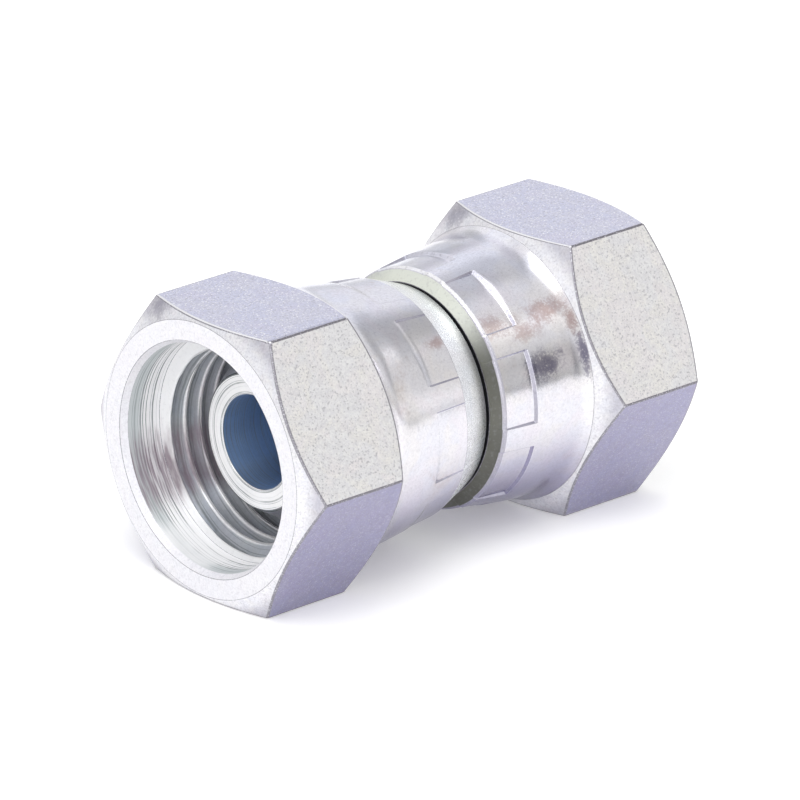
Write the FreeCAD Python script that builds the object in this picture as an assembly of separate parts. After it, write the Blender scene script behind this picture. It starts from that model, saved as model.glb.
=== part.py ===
"""Female threaded connector: two swivel nuts crimped onto one turned tube, for a straight joint.

Each nut screws onto a male adapter and pulls the tube's 60 degree cone nose into its seat.
Frame: the origin is the middle of the tube's axis, +X runs along the axis towards the right
nut, +Z is up, and each nut lies on a flat of its hexagon. Millimetres and degrees.

Stations along the axis are counted from the middle of the tube outwards. Both nuts are drawn
as they lie at the right end, and the left one is then turned round about Z. Their crimped lips
meet at a seam that lies beside the middle, so the left nut has the longer lip.
"""
import FreeCAD
import Part

import math
import os

# Pipe thread G 1/2 that the nuts are tapped with
thread_minor_diameter = 18.631
thread_length = 7.4

# Centre tube, from the middle outwards
flow_bore_diameter = 9.0
neck_diameter = 19.0
neck_half_length = 3.0
collar_diameter = 21.5
collar_length = 6.95
collar_back_angle = 45.0
nose_base_length = 2.47
nose_tip_diameter = 13.0
nose_cone_angle = 60.0
nose_tip_chamfer = 0.2
flow_bore_chamfer = 0.25

# Fits between the tube and the nuts
collar_clearance = 0.07
neck_clearance = 0.08
nose_clearance = 0.3155
lip_float = 0.25
thread_runout = 1.0
nut_gap = 0.3
seam_offset = 1.4

# Swivel nut, mouth and thread: each step outwards from the thread to the flats is a depth or wall
lead_in_step = 1.5345
lead_in_length = 3.8
thread_entry_length = 0.5
mouth_chamfer_depth = 0.375
mouth_chamfer_length = 0.7
hex_wall = 2.275

# Swivel nut, hexagon: each end face or shoulder stands in from the flats by its setback
front_setback = 0.35
front_chamfer_angle = 30.0
rear_setback = 0.35
rear_chamfer_angle = 35.0
hex_length = 12.2

# Swivel nut, outside of the skirt: walls over the bore that the collar runs in
skirt_root_wall = 1.78
skirt_root_rise = 0.9
crimped_wall = 0.88
crimp_edge_station = 2.35
lip_end_wall = 0.77
lip_chamfer = 0.2

# Die imprints round the crimped end of the skirt
imprint_count = 8
imprint_width_angle = 33.0
imprint_length = 3.4
imprint_floor_wall = 0.78
imprint_run_out = 0.45
left_imprint_turn = 44.6
right_imprint_turn = 31.3

# How far cutting shapes reach past what they cut
cutting_margin = 1.0

AXIS_POINT = FreeCAD.Vector(0, 0, 0)
AXIS = FreeCAD.Vector(1, 0, 0)


def cone_length(large_diameter, small_diameter, angle_to_axis):
    """Length along the axis of a cone between two diameters."""
    return (large_diameter - small_diameter) / 2 / math.tan(math.radians(angle_to_axis))


# Diameters and stations that follow from the sizes above
nose_base_diameter = thread_minor_diameter - 2 * nose_clearance
lead_in_diameter = thread_minor_diameter + 2 * lead_in_step
mouth_diameter = lead_in_diameter + 2 * mouth_chamfer_depth
hex_across_flats = mouth_diameter + 2 * hex_wall
rear_bore_diameter = collar_diameter + 2 * collar_clearance
lip_diameter = neck_diameter + 2 * neck_clearance

collar_back_cone = cone_length(collar_diameter, neck_diameter, collar_back_angle)
collar_back = neck_half_length + collar_back_cone
collar_front = collar_back + collar_length
nose_base = collar_front + nose_base_length
nose_tip = nose_base + cone_length(nose_base_diameter, nose_tip_diameter, nose_cone_angle / 2)

thread_back = collar_front + thread_runout
thread_front = thread_back + thread_length
lead_in_back = thread_front + thread_entry_length
lead_in_front = lead_in_back + lead_in_length
mouth_face = lead_in_front + mouth_chamfer_length
hex_back = mouth_face - hex_length
left_nut_end = nut_gap / 2 - seam_offset
right_nut_end = nut_gap / 2 + seam_offset


def profile_face(points):
    """Face in the XZ plane inside a run of (station, diameter) points."""
    corners = [FreeCAD.Vector(station, 0, diameter / 2) for station, diameter in points]
    return Part.Face(Part.makePolygon(corners + corners[:1]))


def turned(points):
    """Solid of revolution about the axis."""
    return profile_face(points).revolve(AXIS_POINT, AXIS, 360)


def make_centre_tube():
    """The turned tube: a cone nose and a collar at each end, a neck between, one bore through."""
    cone_at_chamfer = nose_tip_chamfer * math.tan(math.radians(nose_cone_angle / 2))
    nose_shoulder_diameter = nose_tip_diameter + 2 * cone_at_chamfer
    half = [
        (neck_half_length, neck_diameter),
        (collar_back, collar_diameter),
        (collar_front, collar_diameter),
        (collar_front, nose_base_diameter),
        (nose_base, nose_base_diameter),
        (nose_tip - nose_tip_chamfer, nose_shoulder_diameter),
        (nose_tip, nose_shoulder_diameter - 2 * nose_tip_chamfer),
        (nose_tip, flow_bore_diameter + 2 * flow_bore_chamfer),
        (nose_tip - flow_bore_chamfer, flow_bore_diameter),
    ]
    other_half = [(-station, diameter) for station, diameter in reversed(half)]
    return turned(half + other_half)


def nut_outside(nut_end):
    """Hexagon bar turned down to a chamfered hexagon with a round skirt behind it."""
    corner_diameter = 2 * hex_across_flats / math.sqrt(3)
    beyond_corner = corner_diameter + cutting_margin
    front_slope = 90 - front_chamfer_angle
    rear_slope = 90 - rear_chamfer_angle
    front_face_diameter = hex_across_flats - 2 * front_setback
    shoulder_diameter = hex_across_flats - 2 * rear_setback
    front_corner = mouth_face - cone_length(beyond_corner, front_face_diameter, front_slope)
    rear_ridge = hex_back - cone_length(hex_across_flats, shoulder_diameter, rear_slope)
    rear_corner = rear_ridge + cone_length(beyond_corner, shoulder_diameter, rear_slope)
    skirt_root = rear_ridge - skirt_root_rise
    lathe_shape = turned([
        (nut_end, 0),
        (nut_end, lip_diameter + 2 * lip_end_wall),
        (crimp_edge_station, rear_bore_diameter + 2 * crimped_wall),
        (skirt_root, rear_bore_diameter + 2 * skirt_root_wall),
        (rear_ridge, shoulder_diameter),
        (rear_corner, beyond_corner),
        (front_corner, beyond_corner),
        (mouth_face, front_face_diameter),
        (mouth_face, 0),
    ])
    corners = []
    for step in range(7):
        angle = math.radians(60 * step)
        across = corner_diameter / 2 * math.cos(angle)
        upward = corner_diameter / 2 * math.sin(angle)
        corners.append(FreeCAD.Vector(nut_end, across, upward))
    hexagon = Part.Face(Part.makePolygon(corners))
    bar = hexagon.extrude(AXIS * (mouth_face - nut_end))
    return bar.common(lathe_shape)


def nut_inside(nut_end):
    """The room inside the nut: mouth, lead-in bore, thread bore, rear bore and the crimped lip."""
    # the lip's cone follows the back of the collar, set off from it along the axis
    lip_cone = cone_length(rear_bore_diameter, lip_diameter, collar_back_angle)
    lip_front = neck_half_length - lip_float
    past_mouth = mouth_face + cutting_margin
    past_end = nut_end - cutting_margin
    return turned([
        (past_end, 0),
        (past_end, lip_diameter + 2 * lip_chamfer),
        (nut_end, lip_diameter + 2 * lip_chamfer),
        (nut_end + lip_chamfer, lip_diameter),
        (lip_front, lip_diameter),
        (lip_front + lip_cone, rear_bore_diameter),
        (thread_back, rear_bore_diameter),
        (thread_back, thread_minor_diameter),
        (thread_front, thread_minor_diameter),
        (lead_in_back, lead_in_diameter),
        (lead_in_front, lead_in_diameter),
        (mouth_face, mouth_diameter),
        (past_mouth, mouth_diameter),
        (past_mouth, 0),
    ])


def imprint_cutters(turn):
    """The room that the crimping dies press into the skirt, one sector for each die."""
    floor_diameter = rear_bore_diameter + 2 * imprint_floor_wall
    clear_of_skirt = rear_bore_diameter + 2 * (skirt_root_wall + cutting_margin)
    # the dies reach a little past the crimp edge, so the imprints are open towards the lip
    imprint_back = crimp_edge_station - imprint_run_out
    imprint_front = crimp_edge_station + imprint_length
    profile = profile_face([
        (imprint_back, floor_diameter),
        (imprint_back, clear_of_skirt),
        (imprint_front, clear_of_skirt),
        (imprint_front, floor_diameter),
    ])
    cutters = []
    for index in range(imprint_count):
        # the profile stands on +Z, which is a quarter turn on from +Y
        start = turn + index * 360 / imprint_count - imprint_width_angle / 2 - 90
        sector = profile.revolve(AXIS_POINT, AXIS, imprint_width_angle)
        sector.rotate(AXIS_POINT, AXIS, start)
        cutters.append(sector)
    return cutters


def make_swivel_nut(nut_end, imprint_turn):
    """One swivel nut, as it lies at the right end, with its lip drawn out to nut_end."""
    return nut_outside(nut_end).cut(nut_inside(nut_end)).cut(imprint_cutters(imprint_turn))


def one_solid(shape):
    """The single solid of a shape."""
    solid, = shape.Solids
    return solid


def main():
    centre_tube = make_centre_tube()
    right_nut = make_swivel_nut(right_nut_end, right_imprint_turn)
    left_nut = make_swivel_nut(left_nut_end, left_imprint_turn)
    left_nut.rotate(AXIS_POINT, FreeCAD.Vector(0, 0, 1), 180)
    os.makedirs("parts", exist_ok=True)
    one_solid(centre_tube).exportStep("parts/centre_tube.step")
    one_solid(left_nut).exportStep("parts/left_swivel_nut.step")
    one_solid(right_nut).exportStep("parts/right_swivel_nut.step")


main()
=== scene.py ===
"""Female threaded connector: two crimped swivel nuts on a turned tube, in plated steel.

Everything is in metres, in the frame of the CAD model: +X runs along the axis towards the right
nut, +Z is up, and the nuts lie on the floor on a flat of their hexagons. Each nut is drawn as it
lies at the right end, with stations counted outwards from the middle of the tube.
"""
import math
from collections import namedtuple
from functools import partial
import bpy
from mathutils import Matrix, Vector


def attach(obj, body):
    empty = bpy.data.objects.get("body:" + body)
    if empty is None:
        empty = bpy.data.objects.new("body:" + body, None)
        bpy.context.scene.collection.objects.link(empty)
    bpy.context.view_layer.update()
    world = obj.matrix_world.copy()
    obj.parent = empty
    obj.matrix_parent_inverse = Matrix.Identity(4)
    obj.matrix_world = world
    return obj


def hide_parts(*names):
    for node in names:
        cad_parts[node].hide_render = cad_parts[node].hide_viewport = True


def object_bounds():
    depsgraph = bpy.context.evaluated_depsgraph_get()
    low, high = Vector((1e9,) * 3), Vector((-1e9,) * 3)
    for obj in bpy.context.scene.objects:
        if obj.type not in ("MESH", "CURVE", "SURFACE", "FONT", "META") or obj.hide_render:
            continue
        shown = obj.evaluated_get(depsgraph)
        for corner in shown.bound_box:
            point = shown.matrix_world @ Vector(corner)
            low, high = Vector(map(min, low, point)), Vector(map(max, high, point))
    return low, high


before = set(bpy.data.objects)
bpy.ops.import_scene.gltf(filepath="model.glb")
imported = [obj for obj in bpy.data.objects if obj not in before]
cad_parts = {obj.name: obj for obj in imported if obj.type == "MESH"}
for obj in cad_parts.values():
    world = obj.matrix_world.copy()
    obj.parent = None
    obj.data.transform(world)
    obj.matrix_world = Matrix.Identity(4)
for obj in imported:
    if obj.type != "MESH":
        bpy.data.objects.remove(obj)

from types import SimpleNamespace

import bmesh
import bpy
import numpy as np
from bpy.props import FloatProperty, FloatVectorProperty, IntProperty, PointerProperty
from mathutils import Matrix, Vector

bl_info = {
    "name": "Female threaded connector",
    "version": (1, 0, 0),
    "blender": (4, 5, 0),
    "location": "View3D > Sidebar > Connector",
    "description": "Builds a plated swivel connector around its packed frame, with a studio stage",
    "category": "Object",
}

CAD_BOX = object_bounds()

SIDES = ("left", "right")

FULL_TURN = 2 * math.pi
# From one corner of a hexagon to the next
SIXTH = FULL_TURN / 6

# Shortest side that has a direction, reach of a weld, and shortest edge that is kept
SHORTEST_SIDE = 1e-9
WELD_REACH = 2e-7
SHORTEST_EDGE = 1e-7
# A corner that turns by less than this counts as straight
LEAST_TURN = 1e-4
# Widest columns round the axis, in degrees
NUT_COLUMN = 1.5
TUBE_COLUMN = 1.25
# The largest rounding that shows as an edge with a painted dark line and highlight, and the share of a side
# that an arc may take
LARGEST_SHADED_EDGE = 0.00045
SIDE_SHARE = 0.8

# An imprint's depth at the crimp edge, as a share of its depth at the step
IMPRINT_RUN_OUT = 0.3
# The slopes at an imprint's sides are eased where they begin and end: depth there, and distance
# from the slope's middle, as shares of the slope's own. The step in front is eased at its thirds
EASED_DEPTH = 0.08
EASED_AT = 0.33
# From an imprint's step and the crimp edge to the row that keeps the skirt smooth beside them
SUPPORT = 0.0006

# The crest's flat bends down between these shares of its half width, by this share of it
CREST_BEND = (0.85, 1.12)
CREST_DROP = 0.2
# Points on half of a root's arc, as shares of its width
ROOT_POINTS = (1.0, 0.7, 0.35, 0.0)
# Rows for one turn of the thread where it runs into its 45 degree entry
FINE_ROWS = 24
# From the last row of the thread to the lead-in bore
ENTRY_EDGE = 0.00005

# Finishes that depend on the place, several of them painted light and shade: see Finishes.plating for what
# each one does
# Facing holds the colours of painted light and shade for the way a surface faces
Facing = namedtuple("Facing", "top side under top_start under_end")
RadiusShade = namedtuple("RadiusShade", "inner_radius outer_radius inner outer")
Streaks = namedtuple("Streaks", "lines shadows lines_per_metre")
Mouth = namedtuple("Mouth", "start finish share colour")
BorePatch = namedtuple("BorePatch", "direction edge core raggedness share colour")
Smudge = namedtuple("Smudge", "middle half_length half_width share colour")

# What the colour is multiplied by where the grain is darkest, and the colour of its sparkles
GRAIN_SHADE = (0.72, 0.71, 0.74)
SPARKLE = (0.95, 0.95, 1.0)

# Sides of the bores, across the axis, that get a painted dark brownish reflection and a painted highlight
DARK_REFLECTION_SIDE = (0.0, 0.8988, -0.4384)
HIGHLIGHT_SIDE = (0.0, 0.3090, -0.9511)
# Sides of the right lip that get a painted highlight and painted shade
LIP_HIGHLIGHT_SIDE = (0.0, -0.17, 0.985)
LIP_SHADE_SIDE = (0.0, -0.94, -0.34)

SKIRT_SMUDGES = (
    Smudge((0.0096, -0.0090, 0.0088), 0.0032, 0.0017, 0.6, "red_smudge"),
    Smudge((0.0066, -0.0096, 0.0076), 0.0026, 0.0014, 0.5, "red_smudge"),
    Smudge((0.0038, -0.0083, 0.0084), 0.0024, 0.0016, 0.5, "red_smudge"),
    Smudge((0.0074, -0.0115, 0.0045), 0.0032, 0.0019, 0.85, "navy_smudge"),
    Smudge((0.0118, -0.0121, 0.0050), 0.0008, 0.0034, 0.85, "navy_smudge"),
    Smudge((0.0116, -0.0105, 0.0076), 0.0008, 0.0020, 0.6, "red_smudge"),
    Smudge((-0.0032, -0.0082, 0.0085), 0.0018, 0.0008, 0.55, "red_smudge"),
    Smudge((-0.0014, -0.0082, 0.0074), 0.0012, 0.0006, 0.55, "red_smudge"),
)
# Dark patches on the chamfers at the same corner of both hexagons
CORNER_DARK_PATCHES = (
    Smudge((-0.0238, 0.0066, 0.0126), 0.0015, 0.0024, 0.5, "navy_smudge"),
    Smudge((0.0128, 0.0066, 0.0126), 0.0015, 0.0024, 0.5, "navy_smudge"),
)

# Lamps: name, place, size and colour. The power of each is the stage setting of its name
LAMPS = (
    ("key", (0.55, 0.62, 0.62), 1.0, (0.94, 0.96, 1.0)),
    ("fill", (0.60, -0.65, 0.42), 0.8, (1.0, 0.97, 0.90)),
    ("front", (-0.45, -0.25, 0.80), 0.5, (1.0, 1.0, 1.0)),
    ("top", (-0.05, -0.10, 0.95), 0.55, (1.0, 1.0, 1.0)),
    ("side", (-0.50, -0.76, 0.20), 0.5, (1.0, 1.0, 1.0)),
)
# Darker gaps in the studio's even light: direction, half width in degrees and depth
GAPS = (
    ((0.43, -0.89, 0.14), 17.0, 0.6),
    ((0.43, -0.76, 0.46), 12.0, 0.4),
    ((0.79, -0.42, 0.42), 13.0, 0.45),
    ((0.78, 0.05, 0.62), 13.0, 0.4),
    ((0.475, 0.29, 0.829), 13.0, 0.4),
    ((0.47, 0.80, 0.38), 9.0, 0.45),
)
FLOOR_HALF = 3.0


def length(name, description, default):
    """A size in metres."""
    return FloatProperty(name=name, description=description, default=default, unit="LENGTH", precision=6)


def pair(name, description, left, right, unit="LENGTH"):
    """A size of the left nut and the same size of the right one."""
    return FloatVectorProperty(name=name, description=description, default=(left, right), size=2, unit=unit)


def angle(name, description, degrees):
    """An angle, given in degrees."""
    return FloatProperty(name=name, description=description, default=math.radians(degrees), subtype="ANGLE")


def number(name, description, default):
    """A plain number."""
    return FloatProperty(name=name, description=description, default=default)


def power(name, description, default):
    """The power of a lamp in watts."""
    return FloatProperty(name=name, description=description, default=default, unit="POWER")


def colour(name, description, red, green, blue):
    """A colour of a finish."""
    return FloatVectorProperty(
        name=name, description=description, default=(red, green, blue), size=3, min=0, max=1,
        subtype="COLOR",
    )


class NutSizes(bpy.types.PropertyGroup):
    """Sizes that both swivel nuts share."""

    across_flats: length("Across flats", "Width of the hexagon over two flats", 0.027)
    hex_length: length("Hexagon length", "Length of the flats in their middle", 0.0122)
    hex_edge: length("Hexagon edge", "Rounding of the six long edges", 0.00026)
    flat_end: length("Flat end", "Rounding of the curved ends of the flats", 0.0003)
    face_setback: length("Face setback", "How far the end faces stand in from the flats", 0.00035)
    turned_edge: length("Turned edge", "Rounding of the end faces, shoulders and lip bores", 0.0001)
    front_chamfer: angle("Front chamfer", "Angle of the front chamfer to the end face", 30)
    rear_chamfer: angle("Rear chamfer", "Angle of the rear chamfer to the end face", 35)
    mouth_face: length("Mouth face", "Station of the front end face", 0.0246)
    mouth_diameter: length("Mouth diameter", "Outer edge of the mouth chamfer", 0.02245)
    mouth_edge: length("Mouth edge", "Rounding of that edge", 0.00006)
    mouth_chamfer: length("Mouth chamfer", "Length of the mouth chamfer", 0.0007)
    lead_in_diameter: length("Lead-in diameter", "Smooth bore before the thread", 0.0217)
    lead_in_edge: length("Lead-in edge", "Rounding between the mouth chamfer and that bore", 0.00005)
    lead_in_back: length("Lead-in end", "Station where the lead-in bore ends", 0.0201)
    entry_edge: length("Entry edge", "Rounding between that bore and the thread's entry", 0.00004)
    thread_entry: length("Thread entry", "Length of the cone into the thread", 0.0005)
    thread_back: length("Thread end", "Station where the thread runs out", 0.0122)
    rear_bore: length("Rear bore", "Bore that the collar of the tube turns in", 0.02164)
    lip_bore: length("Lip bore", "Bore of the crimped lip", 0.01916)
    lip_front: length("Lip inside", "Station of the lip's inner shoulder", 0.00275)


class SkirtSizes(bpy.types.PropertyGroup):
    """Sizes of the crimped skirts."""

    root_back: length("Root setback", "From the shoulder back to the middle of the hollow curve", 0.00125)
    root_diameter: length("Root diameter", "Skirt at the middle of the hollow curve", 0.02518)
    root_rounding: length("Root rounding", "Radius of the hollow curve", 0.005)
    bend_station: length("Bend station", "Where the skirt begins to taper", 0.0085)
    bend_diameter: length("Bend diameter", "Skirt at the bend", 0.0249)
    bend_rounding: length("Bend rounding", "Radius of the bend", 0.015)
    crimp_station: length("Crimp edge", "Station of the crimp edge", 0.00235)
    crimp_diameter: length("Crimp diameter", "Skirt at the crimp edge", 0.0234)
    lip_diameter: length("Lip diameter", "Outside of the lip at its end", 0.0207)
    lip_edge: length("Lip edge", "Rounding of the lip's outer edge", 0.0002)
    imprint_wall: length("Imprint wall", "Width of the slopes at an imprint's sides", 0.00011)
    imprint_width: angle("Imprint width", "Angle that one imprint takes", 33)
    imprint_count: IntProperty(name="Imprints", description="Die imprints round a skirt", default=8)


class ThreadSizes(bpy.types.PropertyGroup):
    """Sizes of the pipe thread in the nuts."""

    pitch: length("Pitch", "Distance from crest to crest", 0.001814)
    minor_diameter: length("Minor diameter", "Diameter over the crests", 0.018631)
    major_diameter: length("Major diameter", "Diameter over the roots", 0.020955)
    rounding: length("Rounding", "Radius of the roots", 0.000249)
    flank: angle("Flank", "Angle of a flank to the cross section", 27.5)


class OwnSizes(bpy.types.PropertyGroup):
    """Sizes that differ between the nuts: the left one's first, then the right one's."""

    crimp_rounding: pair("Crimp rounding", "Rounding of the crimp edge", 0.0002, 0.0005)
    lip_end: pair("Lip end", "Station where the lip ends", -0.00125, 0.00155)
    imprint_front: pair("Imprint front", "Station of the imprints' steps", 0.0062, 0.0059)
    imprint_depth: pair("Imprint depth", "Depth of the imprints at their steps", 0.00016, 0.00028)
    step: pair("Step", "Length of the slope at the front of the imprints", 0.00016, 0.00034)
    turn: pair("Turn", "Middle of the first imprint", math.radians(44.6), math.radians(31.3), "ROTATION")
    crest: pair("Crest", "Station of a thread crest at angle 0", 0.015486, 0.0151)


class TubeSizes(bpy.types.PropertyGroup):
    """Sizes of the turned tube."""

    neck_half: length("Neck half length", "Station where the neck ends", 0.003)
    neck_diameter: length("Neck diameter", "Diameter of the neck", 0.019)
    collar_back: length("Collar back", "Station of the collar's rear edge", 0.00425)
    collar_front: length("Collar front", "Station of the collar's front face", 0.0112)
    collar_diameter: length("Collar diameter", "Diameter of the collars", 0.0215)
    collar_edge: length("Collar edge", "Rounding of the neck's end and the collar's edges", 0.0003)
    collar_foot: length("Collar foot", "Hollow curve where the nose stands on the collar", 0.0004)
    nose_base: length("Nose base", "Station where the cone begins", 0.01367)
    nose_base_diameter: length("Nose base diameter", "Diameter behind the cone", 0.018)
    nose_base_edge: length("Nose base edge", "Rounding where the cone begins", 0.0002)
    nose_tip: length("Nose tip", "Station of the end face", 0.018)
    nose_tip_diameter: length("Nose tip diameter", "Outer edge of the end face", 0.013)
    nose_tip_edge: length("Nose tip edge", "Rounding of that edge", 0.00025)
    bore_diameter: length("Bore", "Diameter of the flow bore", 0.009)
    bore_chamfer: length("Bore chamfer", "Chamfer at the bore's ends", 0.0001)
    bore_edge: length("Bore edge", "Rounding of that chamfer's edges", 0.00004)


class FinishColours(bpy.types.PropertyGroup):
    """Colours of the plating, and the colours that paint light and shade on it."""

    plating: colour("Plating", "Clean zinc of the flats and cones", 0.855, 0.855, 0.915)
    cool: colour("Cool plating", "Blue passivation", 0.50, 0.53, 0.66)
    warm: colour("Warm plating", "Straw tint of the passivation", 0.66, 0.62, 0.56)
    rose: colour("Rose plating", "Violet tint of the passivation", 0.60, 0.50, 0.60)
    # Also the painted highlight on rounded edges that face up
    bright: colour("Bright plating", "Skirts, chamfers and worn edges", 0.86, 0.86, 0.89)
    # Also the painted highlights: in the bores, at the skirts' hollow curve, on imprint slopes and on the
    # right crimp edge
    turned: colour("Turned plating", "Lead-in bores, thread crests and end rings", 0.97, 0.97, 0.98)
    face: colour("End face", "End faces of the nuts", 0.83, 0.825, 0.86)
    # Also painted shade at the sides of the right crimp edge
    corner: colour("Corner", "Grey of the chamfers at the hexagon's corners", 0.58, 0.57, 0.62)
    mouth_shade: colour("Mouth shade", "Grey-green of the lead-in bores near the mouth", 0.50, 0.55, 0.56)
    # Painted dark reflection on one side of the bores
    brown_patch: colour("Brown patch", "Brownish patch inside the bores", 0.24, 0.18, 0.22)
    lip_bright: colour("Lip", "Outer part of the left lip", 0.84, 0.86, 0.88)
    straw: colour("Straw", "Yellow-green inner part of the right lip", 0.66, 0.69, 0.58)
    # Real tool lines, and painted shade on the left steps, at the left lip's seam, on the tube's roundings
    # and as soft bore shadows
    tool_line: colour("Tool line", "Dark grey of tool lines, steps and shadows", 0.23, 0.25, 0.26)
    # Painted shade in the thread's roots
    thread_flank: colour("Thread flank", "Grey of the thread's roots", 0.40, 0.43, 0.47)
    pit: colour("Pit", "Dark speckles of the grain", 0.33, 0.32, 0.36)
    # Painted light and shade on the flats by the way they face, darkest and violet underneath
    top_tint: colour("Top tint", "Shade of the flats on top", 0.78, 0.79, 0.90)
    side_tint: colour("Side tint", "Shade of the flats at the sides", 1.0, 0.995, 0.93)
    under_tint: colour("Under tint", "Shade of the flats that face down", 0.46, 0.445, 0.59)
    # Painted light and shade on the skirts by the way they face, darkest underneath
    skirt_top: colour("Skirt top", "Shade of the skirts on top", 0.91, 0.92, 1.0)
    skirt_side: colour("Skirt side", "Shade of the skirts at the sides", 0.92, 0.91, 0.92)
    skirt_under: colour("Skirt underneath", "Shade of the skirts that face down", 0.39, 0.37, 0.50)
    # Painted shade on the imprints' slopes at their sides and fronts
    step_side: colour("Step side", "Shade of the imprints' slopes at the sides", 0.52, 0.51, 0.57)
    lip_side: colour("Lip side", "Outer part of the right lip", 0.52, 0.54, 0.53)
    # Painted highlight on top of the right lip and painted shade underneath
    lip_top: colour("Lip top", "Pale yellow-green top of the right lip", 0.90, 0.93, 0.85)
    lip_under: colour("Lip underneath", "Dark olive lower part of the right lip", 0.12, 0.12, 0.105)
    red_smudge: colour("Red smudge", "Reddish-brown smudges on the skirts", 0.33, 0.19, 0.17)
    navy_smudge: colour("Navy smudge", "Dark violet smudges", 0.13, 0.12, 0.20)
    # Painted dark reflection along the rounded edges
    edge_line: colour("Edge line", "Dark line along the worn edges", 0.22, 0.21, 0.24)
    # Painted shade on the surfaces between the pieces
    seam: colour("Seam", "Dark places between the pieces", 0.10, 0.10, 0.10)
    # Blue plating of the flow bore, darkened as painted shade
    deep: colour("Deep plating", "Dark blue plating inside the flow bore", 0.26, 0.42, 0.69)
    stain: colour("Stain", "Brown drying marks", 0.30, 0.17, 0.12)
    floor: colour("Floor", "Pale floor", 0.90, 0.90, 0.90)


class StageSettings(bpy.types.PropertyGroup):
    """Camera and lights."""

    azimuth: angle("Azimuth", "Turn of the line of sight", 42.6791)
    elevation: angle("Elevation", "Height of the camera above the object", 21.9864)
    roll: angle("Roll", "Tilt of the picture", 0.9017)
    distance: length("Distance", "From the object's middle to the camera", 0.82137)
    lens: number("Lens", "Focal length in millimetres", 399.93)
    shift_x: number("Shift X", "Sideways shift of the picture", -0.0009)
    shift_y: number("Shift Y", "Upward shift of the picture", -0.0069)
    world: number("World", "Strength of the even light all round", 0.95)
    key: power("Key", "Power of the large lamp behind", 0.5)
    fill: power("Fill", "Power of the lamp at the right", 0.8)
    front: power("Front", "Power of the lamp high in front", 2.9)
    side: power("Side", "Power of the low lamp beside the camera", 1.2)
    top: power("Top", "Power of the small lamp above", 1.1)
    floor_glow: number("Floor glow", "White added to the floor as seen", 0.2)


# Mesh tools

def unit(vectors, least=1e-12):
    """Vectors scaled to length 1. Those shorter than the least length stay short."""
    return vectors / np.maximum(np.linalg.norm(vectors, axis=-1, keepdims=True), least)


def tangent_arc(corner, back, ahead, longest, rounding, steps):
    """Places and directions along an arc that touches both sides of a corner, in every column."""
    half = np.arccos(np.clip(-(back * ahead).sum(1), -1, 1)) / 2
    reach = np.minimum(rounding / np.tan(half), longest)[:, None]
    start = corner - back * reach
    finish = corner + ahead * reach
    # a conic through the corner's own tangents, weighted to be a circular arc
    weight = np.sin(half)[:, None]
    turning = (np.pi - 2 * half)[:, None]
    places = []
    directions = []
    for along in np.linspace(0, 1, steps + 1):
        left = (1 - along) ** 2
        middle = 2 * along * (1 - along) * weight
        right = along ** 2
        places.append((left * start + middle * corner + right * finish) / (left + middle + right))
        bent = np.sin((1 - along) * turning) * back + np.sin(along * turning) * ahead
        directions.append(np.where(turning > LEAST_TURN, bent, back))
    return places, directions


def rounded_profiles(corners):
    """Closed profiles with tangent arcs: places and directions as (columns, rows, 2), and row bands.

    Every corner is (station, radius, rounding, steps, band). Station and radius are numbers or one
    value for each column, and the band names the finish of the strip that leaves the corner, or is a
    pair of the rounding's finish and the strip's.
    """
    columns = max(np.size(value) for corner in corners for value in corner[:2])
    points = np.zeros((columns, len(corners), 2))
    for index, (station, radius, *_) in enumerate(corners):
        points[:, index, 0] = station
        points[:, index, 1] = radius
    sides = np.roll(points, -1, axis=1) - points
    lengths = np.linalg.norm(sides, axis=2)
    sides = unit(sides, SHORTEST_SIDE)
    places = []
    directions = []
    bands = []
    for index, (_, _, rounding, steps, band) in enumerate(corners):
        # small roundings take the edge finish, with its painted dark line and highlight
        shaded = band if rounding > LARGEST_SHADED_EDGE else "edge"
        arc_band, band = band if isinstance(band, tuple) else (shaded, band)
        corner, back, ahead = points[:, index], sides[:, index - 1], sides[:, index]
        if rounding:
            longest = SIDE_SHARE * np.minimum(lengths[:, index - 1], lengths[:, index])
            arc_places, arc_directions = tangent_arc(corner, back, ahead, longest, rounding, steps)
            places += arc_places
            directions += arc_directions
            bands += [arc_band] * steps
        else:
            places.append(corner)
            directions.append(back + ahead)
        bands.append(band)
    return np.stack(places, axis=1), unit(np.stack(directions, axis=1)), bands


def surface_normals(angles, places, directions, closed):
    """Normals of the surface that the profiles make, from their directions and their change round it."""
    if closed:
        wide = np.concatenate([[angles[-2] - FULL_TURN], angles, [angles[1] + FULL_TURN]])
        padded = np.concatenate([places[-2:-1], places, places[1:2]])
        change = np.gradient(padded, wide, axis=0)[1:-1]
    else:
        change = np.gradient(places, angles, axis=0)
    along_axis, outward = directions[..., 0], directions[..., 1]
    # the cross product of the profile's direction and the change round the axis
    normal_axis = outward * places[..., 1]
    normal_out = -along_axis * places[..., 1]
    normal_round = along_axis * change[..., 1] - outward * change[..., 0]
    cosine = np.cos(angles)[:, None]
    sine = np.sin(angles)[:, None]
    return unit(np.stack([
        normal_axis,
        normal_out * cosine - normal_round * sine,
        normal_out * sine + normal_round * cosine,
    ], axis=-1))


def profile_normals(angles, profiles, directions, helix_rows):
    """Normals that point out of the closed shape. Helix rows don't meet themselves after one turn."""
    normals = surface_normals(angles, profiles, directions, True)
    if helix_rows is not None:
        helix = surface_normals(angles, profiles[:, helix_rows], directions[:, helix_rows], False)
        # where the helix has reached its front end, it takes the normal of the row after it
        after = helix_rows[-1] + 1
        ended = profiles[:, helix_rows, 0] > profiles[:, after:after + 1, 0] - SHORTEST_EDGE
        normals[:, helix_rows] = np.where(ended[..., None], normals[:, after:after + 1], helix)
    stations, radii = profiles[0].T
    area = (stations * np.roll(radii, -1) - np.roll(stations, -1) * radii).sum()
    return normals * np.sign(area)


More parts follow.
